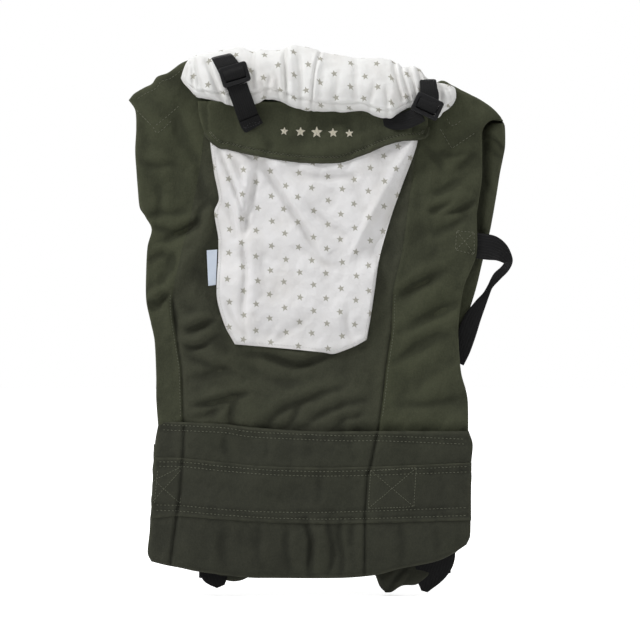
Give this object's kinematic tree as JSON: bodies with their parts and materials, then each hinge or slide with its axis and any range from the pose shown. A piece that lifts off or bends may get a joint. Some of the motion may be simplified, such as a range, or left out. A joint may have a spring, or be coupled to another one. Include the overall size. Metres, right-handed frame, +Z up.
{
  "type": "soft baby carrier",
  "caption": "Soft structured baby carrier: padded body panel with pouch and flap, rolled hood, folding shoulder straps and belt wings with side-release buckles.",
  "frame": {"origin": "on the front view centre line at the lowest edge of the waist belt, in the middle of the body panel thickness", "axes": "+Z up along the panel height, -Y out of the outer face (the side with the pouch), +X to the right seen from the outer face"},
  "size_m": [0.4064, 0.0876, 0.5734],
  "materials": {
    "olive_canvas": "matte cotton canvas",
    "olive_canvas_dark": "matte cotton canvas, darker centre panel",
    "lining_canvas": "soft matte cotton",
    "olive_piping": "corded cotton edge",
    "star_cotton": "light cotton with a small grey star print",
    "satin_label": "blank satin ribbon",
    "foam": "open cell padding",
    "black_webbing": "ribbed woven webbing, slight sheen",
    "black_elastic": "woven elastic",
    "black_plastic": "fine moulded texture"
  },
  "bodies": {
    "main": {"centre_panel": "olive_canvas_dark", "side_panel_left": "olive_canvas", "side_panel_right": "olive_canvas", "panel_foam": "foam", "panel_lining": "lining_canvas", "belt_cover": "olive_canvas", "belt_band": "olive_canvas", "belt_foam": "foam", "belt_lining": "lining_canvas", "star_pouch": "star_cotton", "side_label": "satin_label", "flap_yoke": "olive_canvas", "hood_stub_left": "black_webbing", "hood_stub_right": "black_webbing", "side_webbing_left": "black_webbing", "side_webbing_right": "black_webbing"},
    "pocket_flap": {"flap_outer": "olive_canvas", "flap_lining": "lining_canvas", "flap_piping": "olive_piping"},
    "rolled_hood": {"hood_roll": "star_cotton", "hood_strap_left": "black_webbing", "hood_strap_right": "black_webbing"},
    "hood_slider_left": {"hood_slider_left": "black_plastic"},
    "hood_slider_right": {"hood_slider_right": "black_plastic"},
    "strap_left": {"strap_cover_left": "olive_canvas", "strap_foam_left": "foam", "strap_lining_left": "lining_canvas", "strap_tab_left": "black_webbing", "chest_rail_left": "black_webbing"},
    "strap_right": {"strap_cover_right": "olive_canvas", "strap_foam_right": "foam", "strap_lining_right": "lining_canvas", "strap_tab_right": "black_webbing", "chest_rail_right": "black_webbing"},
    "strap_lock_left": {"strap_lock_left": "black_plastic"},
    "strap_lock_right": {"strap_lock_right": "black_plastic"},
    "chest_half_left": {"chest_slide_left": "black_plastic", "chest_webbing_left": "black_webbing", "chest_buckle_socket": "black_plastic"},
    "chest_half_right": {"chest_slide_right": "black_plastic", "chest_webbing_right": "black_webbing", "chest_buckle_plug": "black_plastic"},
    "chest_latch_upper": {"chest_latch_upper": "black_plastic"},
    "chest_latch_lower": {"chest_latch_lower": "black_plastic"},
    "wing_left": {"wing_cover_left": "olive_canvas", "wing_foam_left": "foam", "wing_lining_left": "lining_canvas", "waist_webbing_left": "black_webbing"},
    "wing_right": {"wing_cover_right": "olive_canvas", "wing_foam_right": "foam", "wing_lining_right": "lining_canvas", "waist_webbing_right": "black_webbing", "elastic_keeper": "black_elastic"},
    "waist_socket": {"waist_buckle_socket": "black_plastic"},
    "waist_plug": {"waist_buckle_plug": "black_plastic"},
    "waist_latch_left": {"waist_latch_left": "black_plastic"},
    "waist_latch_right": {"waist_latch_right": "black_plastic"}
  },
  "joints": [
    {"name": "flap_lift", "type": "hinge", "parent": "main", "child": "pocket_flap", "pos_m": [0, -0.0126, 0.472], "axis": [-1, 0, 0], "range_deg": [0, 60]},
    {"name": "hood_tip", "type": "hinge", "parent": "main", "child": "rolled_hood", "pos_m": [0, -0.006, 0.482], "axis": [1, 0, 0], "range_deg": [0, 20]},
    {"name": "hood_slider_left_adjust", "type": "slide", "parent": "rolled_hood", "child": "hood_slider_left", "axis": [0.2921, 0, -0.9564], "range_m": [-0.004, 0.026]},
    {"name": "hood_slider_right_adjust", "type": "slide", "parent": "rolled_hood", "child": "hood_slider_right", "axis": [-0.423, 0, -0.9061], "range_m": [-0.012, 0.002]},
    {"name": "strap_left_fold", "type": "hinge", "parent": "main", "child": "strap_left", "pos_m": [-0.1575, 0.0078, 0.532], "axis": [0.8548, 0, 0.5189], "range_deg": [0, 170]},
    {"name": "strap_right_fold", "type": "hinge", "parent": "main", "child": "strap_right", "pos_m": [0.171, 0.0078, 0.5085], "axis": [0.8601, 0, -0.5101], "range_deg": [0, 170]},
    {"name": "strap_lock_left_swing", "type": "hinge", "parent": "strap_left", "child": "strap_lock_left", "pos_m": [-0.107, 0.0147, 0.1923], "axis": [1, 0, 0], "range_deg": [0, 60]},
    {"name": "strap_lock_right_swing", "type": "hinge", "parent": "strap_right", "child": "strap_lock_right", "pos_m": [0.122, 0.0147, 0.1923], "axis": [1, 0, 0], "range_deg": [0, 60]},
    {"name": "chest_slide_left_adjust", "type": "slide", "parent": "strap_left", "child": "chest_half_left", "axis": [0.1903, 0, -0.9817], "range_m": [-0.035, 0.035]},
    {"name": "chest_slide_right_adjust", "type": "slide", "parent": "strap_right", "child": "chest_half_right", "axis": [-0.165, 0, -0.9863], "range_m": [-0.035, 0.035]},
    {"name": "chest_latch_upper_press", "type": "hinge", "parent": "chest_half_right", "child": "chest_latch_upper", "pos_m": [0.06634, 0.029, 0.40562], "axis": [0, -1, 0], "range_deg": [0, 6], "stiffness_Nm_per_rad": 0.03},
    {"name": "chest_latch_lower_press", "type": "hinge", "parent": "chest_half_right", "child": "chest_latch_lower", "pos_m": [0.06634, 0.029, 0.38638], "axis": [0, 1, 0], "range_deg": [0, 6], "stiffness_Nm_per_rad": 0.03},
    {"name": "wing_left_fold", "type": "hinge", "parent": "main", "child": "wing_left", "pos_m": [-0.1765, 0.0093, 0.07], "axis": [0, 0, 1], "range_deg": [0, 170]},
    {"name": "wing_right_fold", "type": "hinge", "parent": "main", "child": "wing_right", "pos_m": [0.1705, 0.0093, 0.07], "axis": [0, 0, -1], "range_deg": [0, 170]},
    {"name": "waist_socket_tilt", "type": "hinge", "parent": "wing_left", "child": "waist_socket", "pos_m": [-0.102, 0.0302, 0.0609], "axis": [-1, 0, 0], "range_deg": [0, 60]},
    {"name": "waist_plug_adjust", "type": "slide", "parent": "wing_right", "child": "waist_plug", "axis": [0, 0, -1], "range_m": [0, 0.036]},
    {"name": "waist_latch_left_press", "type": "hinge", "parent": "waist_plug", "child": "waist_latch_left", "pos_m": [0.1112, 0.0303, 0.09935], "axis": [0, 1, 0], "range_deg": [0, 7], "stiffness_Nm_per_rad": 0.15},
    {"name": "waist_latch_right_press", "type": "hinge", "parent": "waist_plug", "child": "waist_latch_right", "pos_m": [0.1428, 0.0303, 0.09935], "axis": [0, -1, 0], "range_deg": [0, 7], "stiffness_Nm_per_rad": 0.15}
  ],
  "couplings": [
    {"joint": "chest_latch_lower_press", "follows": "chest_latch_upper_press", "ratio": 1},
    {"joint": "waist_latch_right_press", "follows": "waist_latch_left_press", "ratio": 1}
  ]
}
